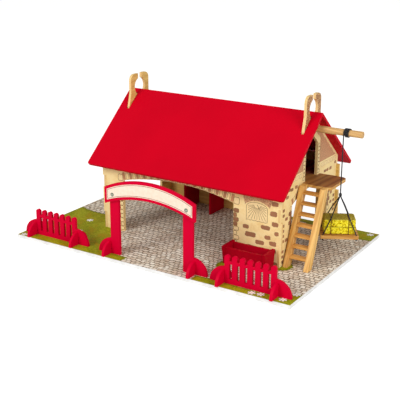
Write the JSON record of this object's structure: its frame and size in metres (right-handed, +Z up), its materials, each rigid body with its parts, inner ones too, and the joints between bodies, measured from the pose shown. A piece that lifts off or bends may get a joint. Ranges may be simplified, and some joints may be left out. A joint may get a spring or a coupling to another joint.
{
  "type": "toy barn",
  "caption": "Wooden toy barn on a printed ground board, with swing-up roof halves, stall doors, a loft with ladder and pole hoist, a gate, fences and a trough.",
  "frame": {"origin": "middle of the ground board's underside", "axes": "+X along the barn's length towards the hoist end, +Y towards the back, +Z up"},
  "size_m": [0.6995, 0.4505, 0.3431],
  "materials": {
    "printed_board": "matt print on plywood",
    "printed_wall": "matt print on plywood",
    "roof_paint": "satin paint",
    "gate_paint": "satin paint",
    "dark_paint": "satin paint",
    "sign_cream": "matt print",
    "brown_stain": "satin stain",
    "bare_wood": "clear satin varnish",
    "black_cord": "round braided cord",
    "bale_straw": "matt straw print",
    "bale_twine": "thin twine",
    "screw_steel": "bright zinc"
  },
  "bodies": {
    "barn": {"base_board": "printed_board", "front_wall": "printed_wall", "rear_wall": "printed_wall", "gable_left": "printed_wall", "gable_right": "printed_wall", "front_batten": "bare_wood", "rear_batten": "bare_wood", "batten_screws": "screw_steel", "loft_floor": "brown_stain", "loft_platform": "brown_stain", "platform_cleat": "bare_wood", "cleat_screws": "screw_steel", "pole_block": "bare_wood", "hoist_cord": "black_cord"},
    "roof_front_half": {"roof_front": "roof_paint"},
    "roof_rear_half": {"roof_rear": "roof_paint"},
    "hoist": {"hoist_pole": "bare_wood", "pole_pin": "bare_wood", "cord_winding": "black_cord", "winding_knot": "black_cord"},
    "hanger": {"tray_knot": "black_cord"},
    "tray": {"tray_board": "bare_wood", "tray_cords": "black_cord", "tray_stops": "black_cord"},
    "bale": {"hay_bale": "bale_straw", "bale_strings": "bale_twine"},
    "ladder": {"ladder_rail_left": "bare_wood", "ladder_rail_right": "bare_wood", "ladder_rungs": "bare_wood"},
    "trough": {"trough_ends": "dark_paint", "trough_front": "dark_paint", "trough_back": "dark_paint", "trough_bottom": "dark_paint"},
    "gate": {"gate_post_left": "gate_paint", "gate_post_right": "gate_paint", "gate_foot_left": "gate_paint", "gate_foot_right": "gate_paint", "gate_sign": "gate_paint", "gate_sign_plate": "sign_cream", "gate_screws": "screw_steel"},
    "fence_left": {"fence_left_panel": "gate_paint", "fence_left_feet": "gate_paint"},
    "fence_right": {"fence_right_panel": "gate_paint", "fence_right_feet": "gate_paint"},
    "stall_left": {"stall_door_left": "dark_paint", "door_pins_left": "bare_wood"},
    "stall_right": {"stall_door_right": "dark_paint", "door_pins_right": "bare_wood"}
  },
  "joints": [
    {"name": "roof_front_swing", "type": "hinge", "parent": "barn", "child": "roof_front_half", "pos_m": [0.018, 0.06, 0.30715], "axis": [-1, 0, 0], "range_deg": [0, 115]},
    {"name": "roof_rear_swing", "type": "hinge", "parent": "barn", "child": "roof_rear_half", "pos_m": [0.018, 0.06, 0.30715], "axis": [1, 0, 0], "range_deg": [0, 115]},
    {"name": "hoist_turn", "type": "hinge", "parent": "barn", "child": "hoist", "pos_m": [0.224, 0.06, 0.2725], "axis": [-1, 0, 0], "range_deg": [-292, 173]},
    {"name": "tray_lift", "type": "slide", "parent": "barn", "child": "hanger", "axis": [0, 0, 1], "range_m": [-0.0425, 0.025], "deforming": ["hoist_cord"]},
    {"name": "tray_turn", "type": "hinge", "parent": "hanger", "child": "tray", "pos_m": [0.3125, 0.0516, 0.12], "axis": [0, 0, 1], "range_deg": [-90, 90]},
    {"name": "bale_out", "type": "slide", "parent": "tray", "child": "bale", "axis": [0.8746, 0.4848, 0], "range_m": [0, 0.08]},
    {"name": "ladder_up", "type": "slide", "parent": "barn", "child": "ladder", "axis": [0, 0, 1], "range_m": [0, 0.06]},
    {"name": "trough_up", "type": "slide", "parent": "barn", "child": "trough", "axis": [0, 0, 1], "range_m": [0, 0.08]},
    {"name": "gate_up", "type": "slide", "parent": "barn", "child": "gate", "axis": [0, 0, 1], "range_m": [0, 0.1]},
    {"name": "fence_left_up", "type": "slide", "parent": "barn", "child": "fence_left", "axis": [0, 0, 1], "range_m": [0, 0.1]},
    {"name": "fence_right_up", "type": "slide", "parent": "barn", "child": "fence_right", "axis": [0, 0, 1], "range_m": [0, 0.1]},
    {"name": "stall_left_swing", "type": "hinge", "parent": "barn", "child": "stall_left", "pos_m": [-0.119, 0.184, 0], "axis": [0, 0, -1], "range_deg": [0, 90]},
    {"name": "stall_right_swing", "type": "hinge", "parent": "barn", "child": "stall_right", "pos_m": [-0.048, 0.184, 0], "axis": [0, 0, -1], "range_deg": [0, 90]}
  ],
  "couplings": [
    {"joint": "hoist_turn", "follows": "tray_lift", "rad_per_m": 119.05}
  ]
}
